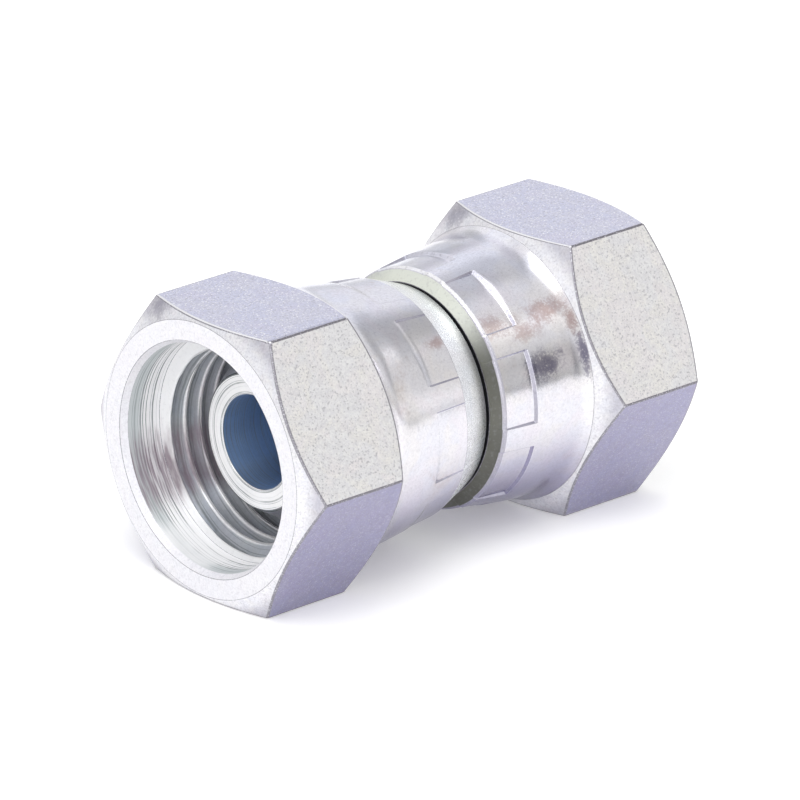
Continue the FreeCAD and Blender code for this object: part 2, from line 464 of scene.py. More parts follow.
def welded(mesh, normals):
    """Closes a mesh of loose strips, shades it smoothly and gives its points their normals."""
    kept = mesh.attributes.new("kept_normal", "FLOAT_VECTOR", "POINT")
    kept.data.foreach_set("vector", normals.ravel())
    shell = bmesh.new()
    shell.from_mesh(mesh)
    bmesh.ops.remove_doubles(shell, verts=shell.verts, dist=WELD_REACH)
    bmesh.ops.dissolve_degenerate(shell, edges=shell.edges, dist=SHORTEST_EDGE)
    bmesh.ops.recalc_face_normals(shell, faces=shell.faces)
    for face in shell.faces:
        face.smooth = True
    shell.to_mesh(mesh)
    shell.free()
    final = np.zeros(3 * len(mesh.vertices))
    mesh.attributes["kept_normal"].data.foreach_get("vector", final)
    mesh.attributes.remove(mesh.attributes["kept_normal"])
    mesh.normals_split_custom_set_from_vertices(final.reshape(-1, 3).tolist())


def turned_mesh(name, angles, profile, finishes, turned_round=False, marked=(), helix_rows=None):
    """A closed mesh from one profile for each angle, with a material for each band of rows.

    Each entry of marked is (columns, band, finish): in those columns the band gets that finish.
    """
    profiles, directions, bands = profile
    columns, rows, _ = profiles.shape
    stations, radii = profiles[..., 0], profiles[..., 1]
    places = np.stack([stations, radii * np.cos(angles)[:, None], radii * np.sin(angles)[:, None]], axis=-1)
    normals = profile_normals(angles, profiles, directions, helix_rows)
    if turned_round:
        places[..., :2] *= -1
        normals[..., :2] *= -1
    column, row = np.meshgrid(np.arange(columns - 1) * rows, np.arange(rows), indexing="ij")
    next_column = column + rows
    next_row = (row + 1) % rows
    quads = np.stack([column + row, column + next_row, next_column + next_row, next_column + row], axis=-1)
    mesh = bpy.data.meshes.new(name)
    mesh.from_pydata(places.reshape(-1, 3).tolist(), [], quads.reshape(-1, 4).tolist())
    used = list(dict.fromkeys([*bands, *(finish for _, _, finish in marked)]))
    for band in used:
        mesh.materials.append(finishes[band])
    strips = np.tile([used.index(band) for band in bands], (columns - 1, 1))
    for chosen, marked_band, finish in marked:
        rows_of_band = np.array([band == marked_band for band in bands])
        strips[np.ix_(chosen[:-1] & chosen[1:], rows_of_band)] = used.index(finish)
    mesh.polygons.foreach_set("material_index", strips.ravel())
    welded(mesh, normals)
    piece = bpy.data.objects.new(name, mesh)
    bpy.context.scene.collection.objects.link(piece)
    return piece


def column_angles(marks, widest):
    """All marked angles round the circle, with more between them where they lie far apart."""
    marked = np.unique(np.round(np.mod(marks, FULL_TURN), 9))
    marked = np.append(marked, marked[0] + FULL_TURN)
    angles = [marked[0]]
    for start, finish in zip(marked[:-1], marked[1:]):
        parts = max(1, math.ceil((finish - start) / widest))
        angles.extend(start + (finish - start) * (part + 1) / parts for part in range(parts))
    return np.array(angles)


def off_nearest(angles, spacing):
    """How far each angle is from the nearest multiple of a spacing."""
    return np.abs(np.mod(angles + spacing / 2, spacing) - spacing / 2)


def hexagon_radius(angles, across_flats, rounding):
    """Distance from the axis to the hexagon's side, with rounded corners at multiples of 60 degrees."""
    off_corner = off_nearest(angles, SIXTH)
    flat = across_flats / 2 / np.cos(SIXTH / 2 - off_corner)
    centre = across_flats / math.sqrt(3) - rounding / math.sin(SIXTH)
    inside = rounding ** 2 - (centre * np.sin(off_corner)) ** 2
    curved = centre * np.cos(off_corner) + np.sqrt(np.maximum(inside, 0))
    return np.where(inside > 0, np.minimum(flat, curved), flat)


def thread_form(sizes):
    """Offsets within one pitch from a crest, as shares of it, and their radii.

    The crests are flat, as a tap leaves them in a bored hole, and the roots are round.
    """
    middle = sizes.pitch / 2
    crest_radius = sizes.minor_diameter / 2
    arc_radius = sizes.major_diameter / 2 - sizes.rounding
    arc_half = sizes.rounding * math.cos(sizes.flank)
    flank_rise = arc_radius + sizes.rounding * math.sin(sizes.flank) - crest_radius
    flat = middle - arc_half - flank_rise * math.tan(sizes.flank)
    offsets = [0.0, *(flat * share for share in CREST_BEND)]
    radii = [crest_radius, crest_radius, crest_radius + flat * CREST_DROP]
    for share in ROOT_POINTS:
        offset = share * arc_half
        offsets.append(middle - offset)
        radii.append(arc_radius + math.sqrt(sizes.rounding ** 2 - offset ** 2))
    offsets += [sizes.pitch - offset for offset in reversed(offsets[1:-1])]
    radii += list(reversed(radii[1:-1]))
    return np.array(offsets) / sizes.pitch, np.array(radii)


def thread_rows(angles, nut, thread, crest):
    """Rows of (station, radius) that follow the helix from the thread's back end to the lead-in."""
    shares, radii = thread_form(thread)
    back = nut.thread_back
    front = nut.lead_in_back - ENTRY_EDGE
    turns = angles / FULL_TURN
    first = math.floor((back - crest) / thread.pitch - turns.max()) - 1
    last = math.ceil((front - crest) / thread.pitch - turns.min()) + 1
    entry_radius = nut.lead_in_diameter / 2
    entry_slope = (entry_radius - thread.minor_diameter / 2) / nut.thread_entry
    entry_radius -= ENTRY_EDGE * entry_slope
    fine = np.linspace(0, 1, FINE_ROWS, endpoint=False)
    rows = []
    for turn in range(first, last):
        near_mouth = crest + thread.pitch * (turn + 2) > front
        for share in (fine if near_mouth else shares):
            station = np.clip(crest + thread.pitch * (turns + turn + share), back, front)
            phase = np.mod((station - crest) / thread.pitch - turns, 1)
            cut = np.interp(phase, np.append(shares, 1), np.append(radii, radii[0]))
            entry = entry_radius - (front - station) * entry_slope
            rows.append((station, np.maximum(cut, entry), 0, 0, "thread"))
    return rows


# Shader tools

VECTOR = "NodeSocketVector"
FLOAT = "NodeSocketFloat"
COLOUR = "NodeSocketColor"


class Wiring:
    """Short calls to add and join nodes of one tree."""

    def __init__(self, tree):
        self.nodes = tree.nodes
        self.links = tree.links

    def node(self, kind, inputs=None, **settings):
        """A node with its settings, and its inputs set or joined by name or number."""
        made = self.nodes.new(kind)
        for name, value in settings.items():
            setattr(made, name, value)
        for key, value in (inputs or {}).items():
            self.feed(made.inputs[key], value)
        return made

    def feed(self, target, value):
        """Joins a socket to an output, or sets it to a value. Colours are given without alpha."""
        if isinstance(value, bpy.types.NodeSocket):
            self.links.new(value, target)
        elif target.type == "RGBA":
            target.default_value = (*value, 1.0)
        else:
            target.default_value = value

    def math(self, operation, first, second=0.0):
        """The output of a Math node."""
        return self.node("ShaderNodeMath", {0: first, 1: second}, operation=operation).outputs[0]

    def plus(self, first, second):
        """The sum of two values."""
        return self.math("ADD", first, second)

    def times(self, first, second):
        """The product of two values."""
        return self.math("MULTIPLY", first, second)

    def vector(self, operation, first, second=(0, 0, 0)):
        """The output of a Vector Math node, which is a value for lengths and dot products."""
        made = self.node("ShaderNodeVectorMath", {0: first, 1: second}, operation=operation)
        return made.outputs["Value" if operation in ("LENGTH", "DOT_PRODUCT") else "Vector"]

    def part(self, vector, axis):
        """One of the three numbers of a vector."""
        return self.node("ShaderNodeSeparateXYZ", {0: vector}).outputs[axis]

    def across(self, position):
        """A position without its distance along the connector's axis."""
        return self.vector("MULTIPLY", position, (0, 1, 1))

    def spread(self, value, low, high, to_low=0.0, to_high=1.0):
        """A value moved from one range to another, smoothly and clamped."""
        made = self.node("ShaderNodeMapRange", interpolation_type="SMOOTHSTEP")
        for target, limit in zip(made.inputs, (value, low, high, to_low, to_high)):
            self.feed(target, limit)
        return made.outputs["Result"]

    def mix(self, factor, first, second, blend="MIX"):
        """The output of a colour mix."""
        made = self.node("ShaderNodeMix", data_type="RGBA", blend_type=blend)
        for key, value in (("Factor", factor), ("A", first), ("B", second)):
            self.feed(made.inputs[key], value)
        return made.outputs["Result"]

    def paint(self, base, mask, share, tint):
        """A colour laid over another where a mask is, up to a share."""
        return self.mix(self.times(mask, share), base, tint)

    def noise(self, vector, scale, detail=2.0, roughness=0.5, distortion=0.0):
        """The value of a noise texture."""
        return self.node("ShaderNodeTexNoise", {
            "Vector": vector,
            "Scale": scale,
            "Detail": detail,
            "Roughness": roughness,
            "Distortion": distortion,
        }).outputs["Fac"]

    def line_noise(self, along, detail):
        """The value of a noise that changes with one number."""
        inputs = {"W": along, "Scale": 1.0, "Detail": detail}
        return self.node("ShaderNodeTexNoise", inputs, noise_dimensions="1D").outputs["Fac"]


def shader_group(name, inputs, outputs):
    """A node group with its sockets, the wiring to fill it, and its input and output nodes.

    Inputs are given by their kind or, where they are numbers, by their default.
    """
    group = bpy.data.node_groups.new(name, "ShaderNodeTree")
    for label, value in inputs.items():
        if value in (VECTOR, COLOUR):
            group.interface.new_socket(name=label, in_out="INPUT", socket_type=value)
        else:
            group.interface.new_socket(name=label, in_out="INPUT", socket_type=FLOAT).default_value = value
    for label, kind in outputs.items():
        group.interface.new_socket(name=label, in_out="OUTPUT", socket_type=kind)
    w = Wiring(group)
    return group, w, w.node("NodeGroupInput").outputs, w.node("NodeGroupOutput").inputs


def make_turning_lines():
    """Tool marks that run round the axis, on bores, cones and end faces alike."""
    group, w, given, result = shader_group(
        "turning_lines", {"Position": VECTOR, "Lines per metre": 5000.0}, {"Height": FLOAT}
    )
    place = given["Position"]
    travel = w.plus(w.part(place, 0), w.vector("LENGTH", w.across(place)))
    sway = w.times(w.noise(place, 90.0), 0.3)
    w.feed(result["Height"], w.line_noise(w.plus(w.times(travel, given["Lines per metre"]), sway), 3.0))
    return group


def make_frost():
    """Crystals of the plating: a fine height, an even grey grain, bright sparkles and dark pits."""
    group, w, given, result = shader_group(
        "plating_frost",
        {"Position": VECTOR, "Grain": 3600.0},
        {"Height": FLOAT, "Grey": FLOAT, "Sparkle": FLOAT, "Pits": FLOAT},
    )
    moved = w.vector("ADD", given["Position"], (0.31, 0.17, 0.23))
    fine = w.noise(given["Position"], given["Grain"], 2.0, 0.6)
    other = w.noise(moved, w.times(given["Grain"], 0.8), 2.0, 0.6)
    coarse = w.noise(moved, w.times(given["Grain"], 0.3), 2.0, 0.6)
    w.feed(result["Height"], fine)
    w.feed(result["Grey"], w.spread(w.plus(fine, w.times(coarse, 0.5)), 0.55, 0.95))
    w.feed(result["Sparkle"], w.spread(fine, 0.54, 0.66))
    w.feed(result["Pits"], w.spread(other, 0.54, 0.68))
    return group


def make_passivation_tint():
    """Soft changes of the plating's colour, from cool over clean to warm and rose."""
    group, w, given, result = shader_group(
        "passivation_tint",
        {
            "Position": VECTOR, "Clean": COLOUR, "Cool": COLOUR, "Warm": COLOUR, "Rose": COLOUR,
            "Patch size": 220.0, "Amount": 0.5,
        },
        {"Colour": COLOUR},
    )
    moved = w.vector("ADD", given["Position"], (0.13, 0.07, 0.29))
    one, two = (w.noise(place, given["Patch size"], 3.0, 0.55, 0.6) for place in (given["Position"], moved))
    tint = w.mix(w.spread(one, 0.42, 0.60), given["Cool"], given["Warm"])
    tint = w.mix(w.spread(two, 0.48, 0.66), tint, given["Rose"])
    w.feed(result["Colour"], w.mix(given["Amount"], given["Clean"], tint))
    return group


def make_facing_painted_light():
    """Paints light and shade on the plating by the side of the piece that it lies on: top, sides and
    underneath.
    """
    group, w, given, result = shader_group(
        "facing_tint",
        {
            "Colour": COLOUR, "Normal": VECTOR, "Top": COLOUR, "Side": COLOUR, "Under": COLOUR,
            "Top start": 0.55, "Under end": -0.45,
        },
        {"Colour": COLOUR, "Top share": FLOAT},
    )
    up = w.part(given["Normal"], 2)
    top = w.spread(up, given["Top start"], w.plus(given["Top start"], 0.3))
    under = w.spread(up, -0.05, given["Under end"])
    shade = w.mix(under, w.mix(top, given["Side"], given["Top"]), given["Under"])
    w.feed(result["Colour"], w.mix(1.0, given["Colour"], shade, "MULTIPLY"))
    w.feed(result["Top share"], top)
    return group


def make_radius_shade():
    """Mixes from one colour to another with the distance from the axis."""
    group, w, given, result = shader_group(
        "radius_shade",
        {"Position": VECTOR, "Inner radius": 0.01, "Outer radius": 0.012, "Inner": COLOUR, "Outer": COLOUR},
        {"Colour": COLOUR},
    )
    radius = w.vector("LENGTH", w.across(given["Position"]))
    share = w.spread(radius, given["Inner radius"], given["Outer radius"])
    w.feed(result["Colour"], w.mix(share, given["Inner"], given["Outer"]))
    return group


def make_turned_streaks():
    """Fine dark tool lines and soft lengthways shadows of a turned bore."""
    group, w, given, result = shader_group(
        "turned_streaks",
        {"Position": VECTOR, "Lines per metre": 4000.0},
        {"Lines": FLOAT, "Shadows": FLOAT},
    )
    around = w.across(given["Position"])
    # the lines stay apart on end faces too, where only the radius changes
    travel = w.plus(w.part(given["Position"], 0), w.times(w.vector("LENGTH", around), 1.3))
    broken = w.noise(around, 420.0)
    line = w.line_noise(w.plus(w.times(travel, given["Lines per metre"]), w.times(broken, 0.8)), 2.0)
    w.feed(result["Lines"], w.times(w.spread(line, 0.54, 0.585), w.spread(broken, 0.25, 0.6, 0.4, 1.0)))
    w.feed(result["Shadows"], w.spread(w.noise(around, 130.0, 1.0), 0.45, 0.65))
    return group


def make_bore_patch():
    """A mask for painted reflections, highlights and shade on one side of a bore or lip, centred on a
    direction across the axis and broken by streaks.
    """
    group, w, given, result = shader_group(
        "bore_patch",
        {"Position": VECTOR, "Direction": VECTOR, "Edge": 0.9, "Core": 0.99, "Raggedness": 0.05},
        {"Mask": FLOAT},
    )
    outward = w.vector("NORMALIZE", w.across(given["Position"]))
    stretched = w.vector("MULTIPLY", given["Position"], (1.6, 0.12, 0.12))
    ragged = w.math("SUBTRACT", w.noise(stretched, 3600.0, 3.0, 0.6), 0.5)
    nearness = w.vector("DOT_PRODUCT", outward, given["Direction"])
    near = w.plus(nearness, w.times(ragged, given["Raggedness"]))
    streak = w.spread(w.noise(stretched, 2600.0), 0.40, 0.60)
    broken = w.times(given["Raggedness"], w.times(streak, 4.5))
    patch = w.spread(near, given["Edge"], given["Core"])
    w.feed(result["Mask"], w.times(patch, w.math("SUBTRACT", 1.0, broken)))
    return group


def make_smudge():
    """A ragged speckled spot round a point, stretched in its own way along each axis."""
    group, w, given, result = shader_group(
        "smudge", {"Position": VECTOR, "Middle": VECTOR, "Stretch": VECTOR}, {"Mask": FLOAT}
    )
    off = w.vector("MULTIPLY", w.vector("SUBTRACT", given["Position"], given["Middle"]), given["Stretch"])
    speckle = w.noise(given["Position"], 4200.0, 3.0, 0.7)
    broad = w.math("SUBTRACT", w.noise(given["Position"], 900.0), 0.5)
    near = w.spread(w.plus(w.vector("LENGTH", off), broad), 1.2, 0.1)
    grain = w.spread(w.plus(speckle, w.times(near, 0.25)), 0.50, 0.72)
    w.feed(result["Mask"], w.times(near, w.plus(0.25, w.times(grain, 0.75))))
    return group


def make_stains():
    """Brown drying marks on smooth plating."""
    group, w, given, result = shader_group("drying_marks", {"Position": VECTOR}, {"Mask": FLOAT})
    broad = w.spread(w.noise(given["Position"], 150.0, 4.0, 0.6, 0.8), 0.56, 0.70)
    speckle = w.spread(w.noise(given["Position"], 2600.0), 0.42, 0.62)
    w.feed(result["Mask"], w.times(broad, w.plus(0.4, w.times(speckle, 0.6))))
    return group


class Finishes:
    """Builds the materials of the plated steel from shared node groups."""

    def __init__(self, colours):
        self.colours = colours
        self.lines = make_turning_lines()
        self.frost = make_frost()
        self.tint = make_passivation_tint()
        self.stains = make_stains()
        self.facing = make_facing_painted_light()
        self.shade = make_radius_shade()
        self.streaks = make_turned_streaks()
        self.patch = make_bore_patch()
        self.smudge = make_smudge()

    def start(self, name, metallic=1.0):
        """A new material, its wiring and its shader."""
        made = bpy.data.materials.new(name)
        made.use_nodes = True
        made.node_tree.nodes.clear()
        w = Wiring(made.node_tree)
        shader = w.node("ShaderNodeBsdfPrincipled", {"Metallic": metallic})
        w.feed(w.node("ShaderNodeOutputMaterial").inputs["Surface"], shader.outputs[0])
        return made, w, shader

    def grouped(self, w, tree, **inputs):
        """A placed node group, given the place on the piece and its other inputs by their names."""
        made = w.node("ShaderNodeGroup", node_tree=tree)
        place = w.node("ShaderNodeTexCoord").outputs
        for key, output in (("Position", "Object"), ("Normal", "Normal")):
            if key in made.inputs:
                w.feed(made.inputs[key], place[output])
        for key, value in inputs.items():
            w.feed(made.inputs[key.replace("_", " ").capitalize()], value)
        return made.outputs

    def local_marks(self, w, base, streaks, mouth, patches, smudges):
        """The base colour with the tool lines, mouth shade, patches and smudges of its place."""
        c = self.colours
        if streaks:
            marks = self.grouped(w, self.streaks, lines_per_metre=streaks.lines_per_metre)
            base = w.paint(base, marks["Lines"], streaks.lines, c.tool_line)
            base = w.paint(base, marks["Shadows"], streaks.shadows, c.tool_line)
        if mouth:
            station = w.math("ABSOLUTE", w.part(w.node("ShaderNodeTexCoord").outputs["Object"], 0))
            base = w.paint(base, w.spread(station, mouth.start, mouth.finish), mouth.share, mouth.colour)
        for spot in patches:
            mask = self.grouped(w, self.patch, direction=spot.direction, edge=spot.edge, core=spot.core,
                                raggedness=spot.raggedness)["Mask"]
            base = w.paint(base, mask, spot.share, spot.colour)
        for spot in smudges:
            stretch = (1 / spot.half_length, 1 / spot.half_width, 1 / spot.half_width)
            mask = self.grouped(w, self.smudge, middle=spot.middle, stretch=stretch)["Mask"]
            base = w.paint(base, mask, spot.share, getattr(c, spot.colour))
        return base

    def plating(self, name, clean, tinted=0.1, patch=300.0, grain=3600.0, roughness=0.4, relief=0.05,
                metallic=1.0, grey=0.4, sparkle=0.0, pits=0.0, stain=0.0, lines=0.0,
                lines_per_metre=5000.0, facing=None, shade=None, streaks=None, mouth=None,
                patches=(), smudges=(), turned=False):
        """Plated steel: tint, crystals, tool marks, stains, and light and shade painted by its place.

        Facing holds the colours of painted light and shade for top, sides and underneath, the height of
        the normal where the top's colour starts and the one where underneath is full; sparkles are
        painted stronger on top. Shade holds two radii and the colours there. Streaks hold the shares of
        fine lines and of soft painted shadows. Mouth holds two distances along the axis between which
        the bore takes another colour, its share and the colour. A patch paints a highlight, reflection
        or shade on one side and holds its direction, the cosines at its edge and core, how ragged it
        is, its share and its colour, and a smudge its middle, two half sizes, its share and the name of
        its colour. Turned surfaces spread their reflections across the tool marks.
        """
        c = self.colours
        made, w, shader = self.start(name, metallic)
        base = clean
        if shade:
            base = self.grouped(w, self.shade, **shade._asdict())["Colour"]
        base = self.grouped(w, self.tint, clean=base, cool=c.cool, warm=c.warm, rose=c.rose,
                            patch_size=patch, amount=tinted)["Colour"]
        shine = sparkle
        if facing:
            base, top_share = self.grouped(w, self.facing, colour=base, **facing._asdict())
            # the sparkles are painted stronger where the surface faces up, as a painted highlight
            shine = w.times(sparkle, w.plus(0.35, w.times(top_share, 0.65)))
        frost = self.grouped(w, self.frost, grain=grain)
        grained = w.mix(1.0, base, GRAIN_SHADE, "MULTIPLY")
        base = w.paint(base, frost["Grey"], grey, grained)
        base = self.local_marks(w, base, streaks, mouth, patches, smudges)
        if pits:
            base = w.paint(base, frost["Pits"], pits, c.pit)
        if stain:
            base = w.paint(base, self.grouped(w, self.stains)["Mask"], stain, c.stain)
        if sparkle:
            base = w.paint(base, frost["Sparkle"], shine, SPARKLE)
        w.feed(shader.inputs["Base Color"], base)
        uneven = w.times(w.math("SUBTRACT", frost["Height"], 0.5), 0.2)
        w.feed(shader.inputs["Roughness"], w.plus(roughness, uneven))
        height = w.times(frost["Height"], relief)
        if lines:
            turning = self.grouped(w, self.lines, lines_per_metre=lines_per_metre)["Height"]
            height = w.plus(height, w.times(turning, lines))
        if turned:
            w.feed(shader.inputs["Anisotropic"], 0.9)
            w.feed(shader.inputs["Anisotropic Rotation"], 0.25)
            tangent = w.node("ShaderNodeTangent", direction_type="RADIAL", axis="X")
            w.feed(shader.inputs["Tangent"], tangent.outputs[0])
        bump = w.node("ShaderNodeBump", {"Height": height, "Distance": 0.00004, "Strength": 1.0})
        w.feed(shader.inputs["Normal"], bump.outputs[0])
        return made

    def dark_edges(self, name, dark, bright):
        """Rounded edges: a painted dark reflection with clean specks, and a painted highlight where they
        face upwards.
        """
        c = self.colours
        made, w, shader = self.start(name)
        frost = self.grouped(w, self.frost, grain=9000.0)
        up = w.part(w.node("ShaderNodeTexCoord").outputs["Normal"], 2)
        line = w.paint(c.edge_line, frost["Pits"], 0.6, c.plating)
        dull = w.mix(dark, c.plating, line)
        w.feed(shader.inputs["Base Color"], w.paint(dull, w.spread(up, 0.72, 0.85), bright, c.bright))
        w.feed(shader.inputs["Roughness"], 0.4)
        return made

    def nut_set(self):
        """The materials of the nuts, one for each band of their surface."""
        c = self.colours
        plating = self.plating
        # painted reflections in the bores: a dark brownish one on one side and a highlight low down
        brown = BorePatch(DARK_REFLECTION_SIDE, 0.91, 1.01, 0.12, 0.85, c.brown_patch)
        painted_bore_highlight = BorePatch(HIGHLIGHT_SIDE, 0.92, 0.985, 0.05, 0.8, c.turned)
        lip_highlight_patch = BorePatch(LIP_HIGHLIGHT_SIDE, 0.57, 0.94, 0.0, 0.8, c.lip_top)
        lip_shade_patch = BorePatch(LIP_SHADE_SIDE, 0.15, 0.75, 0.0, 0.93, c.lip_under)
        skirt = plating(
            "zinc_skirt", c.bright, tinted=0.2, patch=260.0, grain=4200.0, roughness=0.19, relief=0.03,
            grey=0.25, pits=0.15, stain=0.2, smudges=SKIRT_SMUDGES,
            # painted light and shade on the skirts by the way they face
            facing=Facing(c.skirt_top, c.skirt_side, c.skirt_under, 0.74, -0.75),
            # painted highlight: the hollow curve at the skirt's root turns whiter
            shade=RadiusShade(0.01262, 0.01290, c.bright, c.turned),
        )
        return {
            "flat": plating(
                "zinc_flats", c.plating, tinted=0.16, grain=5600.0, roughness=0.42, relief=0.2,
                metallic=0.8, grey=0.6, sparkle=0.8, pits=0.6,
                # painted light and shade on the flats by the way they face
                facing=Facing(c.top_tint, c.side_tint, c.under_tint, 0.55, -0.45),
            ),
            "chamfer": plating(
                "zinc_chamfers", c.bright, tinted=0.12, patch=500.0, grain=5000.0, roughness=0.42,
                relief=0.1, metallic=0.8, grey=0.5, pits=0.3, lines=0.1, smudges=CORNER_DARK_PATCHES,
                shade=RadiusShade(0.0136, 0.0150, c.bright, c.corner),
            ),
            "face": plating(
                "zinc_end_face", c.face, tinted=0.05, patch=400.0, grain=5000.0, roughness=0.5,
                relief=0.06, metallic=0.15, grey=0.3, pits=0.2, lines=0.04,
            ),
            "lead": plating(
                "zinc_lead_in", c.turned, tinted=0.03, grain=2800.0, roughness=0.5, relief=0.02,
                metallic=0.1, grey=0.1, lines=0.15, lines_per_metre=2600.0, turned=True,
                # the patches paint a dark reflection and a highlight on the lead-in bore
                streaks=Streaks(1.0, 0.0, 4200.0), patches=(brown, painted_bore_highlight),
                mouth=Mouth(0.0220, 0.0229, 0.7, c.mouth_shade),
            ),
            "thread": plating(
                "zinc_thread", c.turned, tinted=0.12, grain=3800.0, roughness=0.45, relief=0.03,
                metallic=0.6, grey=0.3, pits=0.08, turned=True,
                # the patch paints a dark reflection on one side of the thread
                streaks=Streaks(0.85, 0.0, 6500.0), patches=(brown,),
                # the entry cone keeps the crests' colour, without the painted root shade
                mouth=Mouth(0.01955, 0.0197, 0.9, c.turned),
                # painted shade: darker from the crests down into the roots
                shade=RadiusShade(0.00936, 0.00955, c.turned, c.thread_flank),
            ),
            "skirt": skirt,
            "imprint": skirt,
            "step": skirt,
            # the left imprints' steps are painted dark grey: painted shade
            "left_pad_step": plating("zinc_left_steps", c.tool_line, grey=0.5, pits=0.3),
            "right_pad_step": plating(
                "zinc_right_steps", c.bright, roughness=0.5, pits=0.5,
                # painted light and shade on the slopes in front of the right imprints, shaded at the sides
                # and underneath
                facing=Facing(c.plating, c.step_side, c.skirt_under, 0.5, -0.2),
            ),
            "imprint_wall": plating(
                "zinc_imprint_walls", c.plating, roughness=0.35, grey=0.5, pits=0.5,
                # painted highlight where the imprints' side slopes face up, painted shade at their sides
                # and underneath
                facing=Facing(c.turned, c.step_side, c.step_side, 0.8, -0.45),
            ),
            # a painted dark reflection along the left crimp edge, with a painted highlight where it faces
            # up
            "left_crimp": self.dark_edges("zinc_left_crimp", 0.7, 0.6),
            "right_crimp": plating(
                "zinc_right_crimp", c.bright, tinted=0.15, grain=4200.0, roughness=0.35, relief=0.15,
                metallic=0.5, grey=0.5, sparkle=0.6, pits=0.5,
                # painted highlight on top of the crimp edge, painted shade at its sides and underneath
                facing=Facing(c.turned, c.corner, c.skirt_under, 0.45, -0.75),
            ),
            "left_lip": plating(
                "zinc_left_lip", c.bright, tinted=0.15, roughness=0.28, metallic=0.5, grey=0.3,
                # painted shade: the lip turns dark grey towards the seam
                pits=0.2, stain=0.1, shade=RadiusShade(0.0104, 0.0109, c.tool_line, c.lip_bright),
            ),
            "right_lip": plating(
                "zinc_right_lip", c.bright, tinted=0.12, roughness=0.33, relief=0.06, grey=0.5, pits=0.2,
                # the patches paint a highlight on top of the lip and shade underneath
                shade=RadiusShade(0.0104, 0.0117, c.straw, c.lip_side), patches=(lip_highlight_patch, lip_shade_patch),
            ),
            # painted shade: surfaces in the gaps between the pieces are near black
            "inside": plating("zinc_inside", c.seam, tinted=0.05, patch=160.0, roughness=0.5, relief=0.1),
            # rounded edges: a painted dark reflection, with a painted highlight on top except on the
            # hexagon's long edges
            "edge": self.dark_edges("zinc_turned_edges", 0.9, 1.0),
            "hex_edge": self.dark_edges("zinc_hexagon_edges", 1.0, 0.0),
        }

    def tube_set(self):
        """The materials of the tube."""
        c = self.colours
        plating = partial(self.plating, patch=200.0)
        return {
            "ring": plating(
                "tube_end_ring", c.turned, tinted=0.03, roughness=0.36, relief=0.02, metallic=0.3, grey=0.1,
                lines=0.15, lines_per_metre=5200.0, streaks=Streaks(0.8, 0.1, 4200.0), turned=True,
            ),
            "cone": plating(
                "tube_cone", c.plating, tinted=0.2, roughness=0.36, lines=0.2,
                streaks=Streaks(0.4, 0.2, 5200.0),
            ),
            "bore": plating(
                # the flow bore's blue plating is darkened as painted shade inside it
                "tube_bore", c.deep, tinted=0.05, roughness=0.38, relief=0.02, metallic=0.6, grey=0.2,
                lines=0.2, lines_per_metre=5200.0, streaks=Streaks(0.5, 0.2, 6000.0), turned=True,
            ),
            # painted shade: the tube's body, hidden in the nuts, is near black
            "body": plating("tube_body", c.seam, roughness=0.45, relief=0.1),
            # painted shade along the tube's roundings
            "edge": plating("tube_edges", c.tool_line, relief=0.02),
        }


FINISHES = {}


def finishes(scene):
    """The materials of the nuts and of the tube, built once and then shared."""
    if not FINISHES:
        maker = Finishes(scene.connector_colours)
        FINISHES.update(nut=maker.nut_set(), tube=maker.tube_set())
    return FINISHES


# Pieces

def imprint_share(angles, skirt, turn):
    """How far each angle lies inside an imprint: 0 outside, 1 on its floor."""
    off_middle = off_nearest(angles - turn, FULL_TURN / skirt.imprint_count)
    inside = (skirt.imprint_width / 2 - off_middle) / wall_angle(skirt)
    return np.interp(inside, [-0.5, -EASED_AT, EASED_AT, 0.5], [0, EASED_DEPTH, 1 - EASED_DEPTH, 1])


def wall_angle(skirt):
    """Angle round the axis that the slope at an imprint's side takes."""
    return skirt.imprint_wall / skirt.crimp_diameter * 2


def hex_edge_reach(nut):
    """Angle round the axis from a corner of the hexagon to where its rounding ends."""
    half_side = nut.across_flats / 2 * math.tan(SIXTH / 2)
    tangent = nut.hex_edge * math.tan(SIXTH / 2)
    return SIXTH / 2 - math.atan((half_side - tangent) / (nut.across_flats / 2))


def nut_angles(nut, skirt, turn):
    """Angles of the nut's columns, close together at the hexagon's edges and the imprints' slopes."""
    edge = hex_edge_reach(nut) * np.array([0, 0.25, 0.5, 0.75, 1, 1.4])
    corners = SIXTH * np.arange(6)
    slope = wall_angle(skirt) * np.array([-0.8, -0.5, -EASED_AT, EASED_AT, 0.5, 0.8])
    side = skirt.imprint_width / 2 - slope
    middles = turn + FULL_TURN / skirt.imprint_count * np.arange(skirt.imprint_count)
    marks = [
        np.add.outer(places, sign * offsets).ravel()
        for places, offsets in ((corners, edge), (middles, side))
        for sign in (-1, 1)
    ]
    return column_angles(np.concatenate(marks), math.radians(NUT_COLUMN))


def imprint_rows(skirt, own, pressed):
    """Rows of the skirt from in front of the imprints back to the crimp edge."""
    front, back = own.imprint_front, skirt.crimp_station
    crimp_radius = skirt.crimp_diameter / 2
    taper = (skirt.bend_diameter / 2 - crimp_radius) / (skirt.bend_station - back)
    rows = []
    for share, station, band in (
        (0.0, front + SUPPORT, "skirt"),
        (0.0, front + own.step / 2, "skirt"),
        (EASED_DEPTH, front + own.step / 3, "step"),
        (1 - EASED_DEPTH, front - own.step / 3, "imprint"),
        (1.0, front - own.step / 2, "imprint"),
        (1.0, front - SUPPORT, "imprint"),
        (1.0, back + SUPPORT, "imprint"),
    ):
        run_out = IMPRINT_RUN_OUT + (1 - IMPRINT_RUN_OUT) * (station - back) / (front - back)
        smooth = crimp_radius + (station - back) * taper
        rows.append((station, smooth - own.imprint_depth * run_out * share * pressed, 0, 0, band))
    return rows


